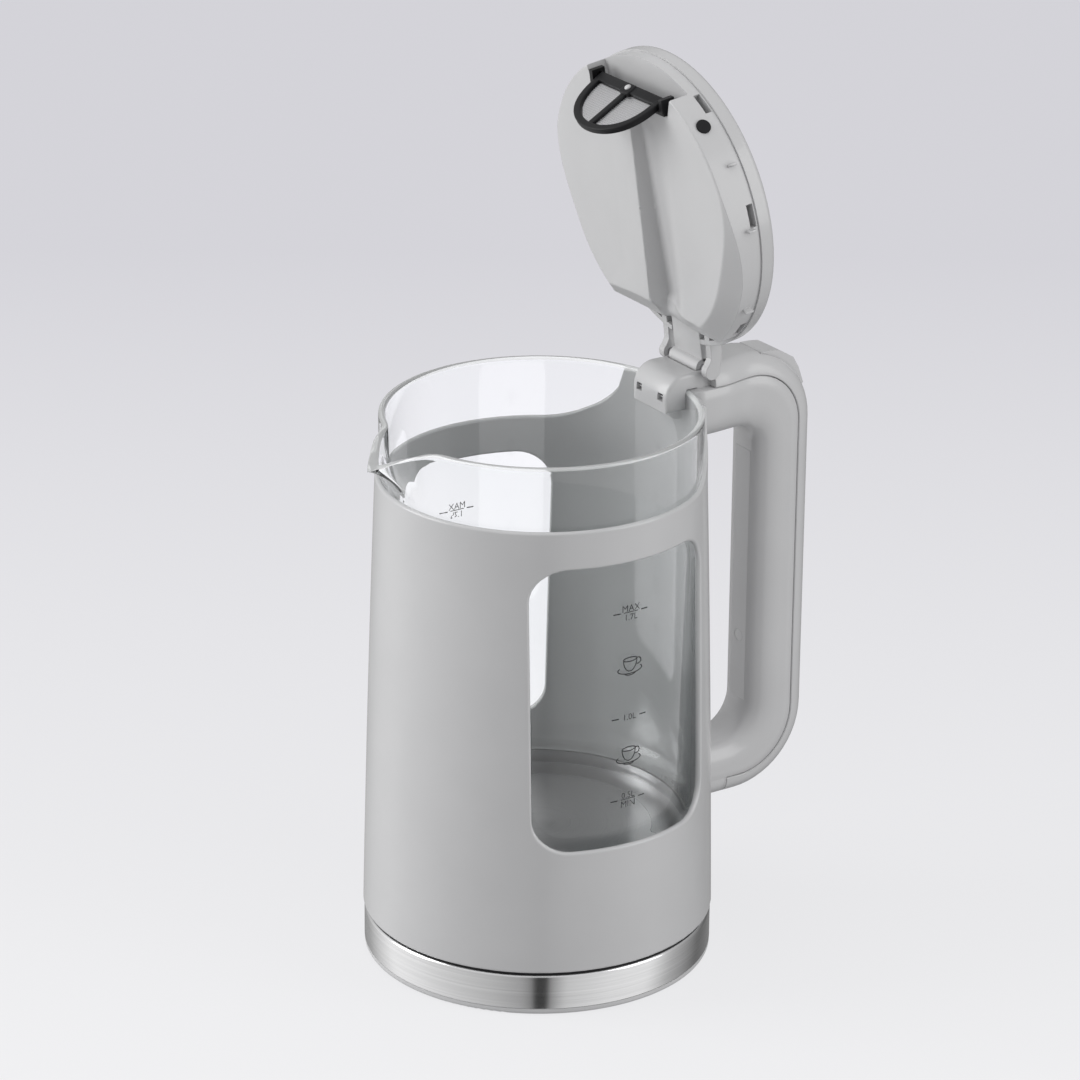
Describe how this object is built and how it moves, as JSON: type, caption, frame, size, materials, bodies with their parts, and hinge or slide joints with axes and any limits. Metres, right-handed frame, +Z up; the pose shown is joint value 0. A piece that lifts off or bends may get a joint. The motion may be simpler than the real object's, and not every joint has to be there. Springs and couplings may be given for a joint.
{
  "type": "electric kettle",
  "caption": "Cordless electric kettle: glass jug in a moulded shell with side windows, loop handle, sprung lid with a pivoting filter, hidden heater and round base connector.",
  "frame": {"origin": "centre of the base socket's mouth, level with the foot and on the jug's axis", "axes": "+Z up, -X towards the spout, +X towards the handle; the XZ plane is the mirror plane"},
  "size_m": [0.224, 0.1548, 0.4011],
  "materials": {
    "clear_glass": "clear heat-resistant glass, polished",
    "grey_gloss": "light grey moulding, gloss",
    "pale_satin": "pale grey moulding, semi-gloss",
    "black_plastic": "black moulding, satin",
    "black_rubber": "black silicone, matt",
    "silicone": "translucent white silicone",
    "base_steel": "stainless steel brushed round the base",
    "plate_steel": "stainless steel, turned finish",
    "mesh_steel": "fine stainless steel mesh",
    "spring_steel": "drawn wire",
    "screw_steel": "plated steel",
    "aluminium": "rolled aluminium plate",
    "element_sheath": "dull aluminium sheath",
    "white_moulding": "heat-resistant moulding, matt",
    "bimetal": "bimetal disc, satin",
    "brass": "brass contact, satin",
    "wire_sleeve": "silicone wire sleeve"
  },
  "bodies": {
    "jug": {"glass_jug": "clear_glass", "outer_shell": "grey_gloss", "gap_seal": "black_rubber", "steel_base_band": "base_steel", "base_chassis": "black_plastic", "bottom_cover": "grey_gloss", "cover_screws": "screw_steel", "heater_plate": "plate_steel", "plate_seal": "silicone", "heat_spreader": "aluminium", "heating_element": "element_sheath", "element_terminals": "screw_steel", "clamp_ring": "screw_steel", "plate_studs": "screw_steel", "stud_nuts": "screw_steel", "control_housing": "white_moulding", "dry_boil_discs": "bimetal", "connector_inlet": "black_plastic", "outer_contact_ring": "brass", "inner_contact_ring": "brass", "earth_contact": "brass", "handle_body": "grey_gloss", "handle_spine_cover": "grey_gloss", "handle_grip_strip": "pale_satin", "handle_screws": "screw_steel", "steam_tube": "white_moulding", "steam_switch": "white_moulding", "steam_disc": "bimetal", "switch_wires": "wire_sleeve", "hinge_pin": "screw_steel", "lid_springs": "spring_steel", "button_spring": "spring_steel"},
    "lid": {"lid_cover": "grey_gloss", "lid_liner": "pale_satin", "lid_pads": "black_rubber", "filter_holder": "black_plastic"},
    "filter": {"filter_frame": "black_plastic", "filter_mesh": "mesh_steel"},
    "button": {"release_button": "pale_satin"},
    "slider": {"release_slider": "screw_steel"},
    "switch": {"power_switch": "pale_satin"}
  },
  "joints": [
    {"name": "lid_hinge", "type": "hinge", "parent": "jug", "child": "lid", "pos_m": [0.0768, 0, 0.2587], "axis": [0, 1, 0], "range_deg": [-81.5, 0], "stiffness_Nm_per_rad": 0.05, "springref_deg": 40.11, "deforming": ["lid_springs"]},
    {"name": "filter_pivot", "type": "hinge", "parent": "lid", "child": "filter", "pos_m": [0.04434, 0, 0.38661], "axis": [0, 1, 0], "range_deg": [0, 35]},
    {"name": "button_press", "type": "slide", "parent": "jug", "child": "button", "axis": [-0.6, 0, -0.8], "range_m": [0, 0.003], "stiffness_N_per_m": 400, "springref_m": -0.003, "deforming": ["button_spring"]},
    {"name": "slider_travel", "type": "slide", "parent": "jug", "child": "slider", "axis": [-1, 0, 0], "range_m": [0, 0.0018]},
    {"name": "power_switch", "type": "hinge", "parent": "jug", "child": "switch", "pos_m": [0.1315, 0, 0.16], "axis": [0, 1, 0], "range_deg": [-8, 0]}
  ],
  "couplings": [
    {"joint": "slider_travel", "follows": "button_press", "ratio": 0.6}
  ]
}
